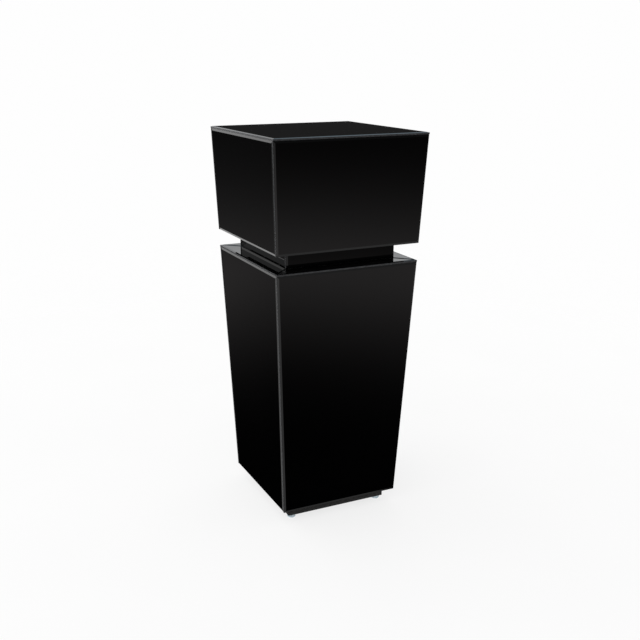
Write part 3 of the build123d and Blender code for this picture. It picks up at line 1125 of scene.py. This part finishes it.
    def bell(self, graph: Graph, elevation: Any) -> Socket:
        """The low band's level, which falls from its peak to its rest on either side."""
        off = graph.math("SUBTRACT", elevation, self.band_middle)
        above = graph.math("GREATER_THAN", off, 0.0)
        width = graph.mix_number(above, *self.band_width)
        rest = graph.mix_number(above, *self.band_rest)
        widths_off = graph.math("DIVIDE", graph.math("ABSOLUTE", off), width)
        fall = graph.product(graph.math("POWER", widths_off, self.band_power), -1.0)
        return graph.mix_number(graph.math("EXPONENT", fall), rest, self.band_peak)

    @staticmethod
    def profile(graph: Graph, angle: Any, stops: Sequence[Pair]) -> Socket:
        """A curve of level over an angle in degrees."""
        low, high = stops[0][0], stops[-1][0]
        share = graph.remap(angle, low, high, smooth=False)
        return graph.ramp(share, [((place - low) / (high - low), level) for place, level in stops])

    @staticmethod
    def window(graph: Graph, angle: Any, centre: float, half: float, soft: float) -> Socket:
        """1 within half a width of a centre, in degrees, easing to 0 past it."""
        off = graph.math("SUBTRACT", angle, centre)
        off = graph.math("ABSOLUTE", graph.math("WRAP", off, 180.0, -180.0))
        return graph.remap(off, half - soft / 2, half + soft / 2, to_low=1.0, to_high=0.0)

    def floor(self) -> None:
        """A wide pale floor that fades into the backdrop and isn't seen in the glass."""
        form = bmesh.new()
        bmesh.ops.create_circle(form, cap_ends=True, segments=96, radius=self.floor_radius)
        floor = linked("studio_floor", mesh_of(form))
        material = bpy.data.materials.new("studio_floor")
        floor.data.materials.append(material)
        graph = blank_graph(material)
        place = graph.add("ShaderNodeTexCoord").outputs["Object"]
        reach = graph.add("ShaderNodeVectorMath", {0: place}, operation="LENGTH").outputs["Value"]
        mottle = graph.noise(place, scale=2.5, detail=2.0)
        level = graph.spread(mottle, self.backdrop - self.floor_mottle, self.backdrop)
        colour = graph.mix(0.0, level, level)
        pale = graph.add("ShaderNodeBsdfDiffuse", {"Color": colour})
        glow = graph.add("ShaderNodeEmission", {"Color": colour})
        inputs = {0: self.floor_glow, 1: pale.outputs[0], 2: glow.outputs[0]}
        soft = graph.add("ShaderNodeMixShader", inputs)
        clear = graph.add("ShaderNodeBsdfTransparent")
        share = graph.remap(reach, self.fade_start, self.fade_end)
        both = graph.add("ShaderNodeMixShader", {0: share, 1: soft.outputs[0], 2: clear.outputs[0]})
        graph.add("ShaderNodeOutputMaterial", {0: both.outputs[0]})
        floor.visible_glossy = False

    def camera(self) -> None:
        """A camera a little above the plinth's top, turned to see its front and left sides."""
        turn, rise = math.radians(self.azimuth), math.radians(self.elevation)
        back = Vector((math.sin(turn) * math.cos(rise), -math.cos(turn) * math.cos(rise), math.sin(rise)))
        right = Vector((math.cos(turn), math.sin(turn), 0.0))
        up = back.cross(right)
        data = bpy.data.cameras.new("studio_camera")
        data.lens = self.lens
        data.sensor_width = self.sensor
        data.shift_x, data.shift_y = self.shift
        data.clip_end = self.clip_end
        camera = linked("studio_camera", data)
        place = Vector((0, 0, self.aim_height)) + back * self.distance
        place += right * self.across + up * self.upward
        axes = Matrix((right, up, back)).transposed() @ Matrix.Rotation(math.radians(self.roll), 3, "Z")
        camera.matrix_world = Matrix.Translation(place) @ axes.to_4x4()
        bpy.context.scene.camera = camera


def main() -> None:
    """Builds the plinth's pieces in order, from the studio to the feet."""
    logging.basicConfig(level=logging.INFO, format="%(name)s %(message)s")
    Studio().build()
    Carcass().dress()
    panes = Cladding().build()
    plate = BasePlate().build()
    pads = Feet().build()
    fasteners = Fasteners().build()
    counts = (len(panes), plate.name, len(pads), len(fasteners))
    LOG.info("%d panes, %s, %d pads and %d sets of fasteners", *counts)


if __name__ == "__main__":
    main()
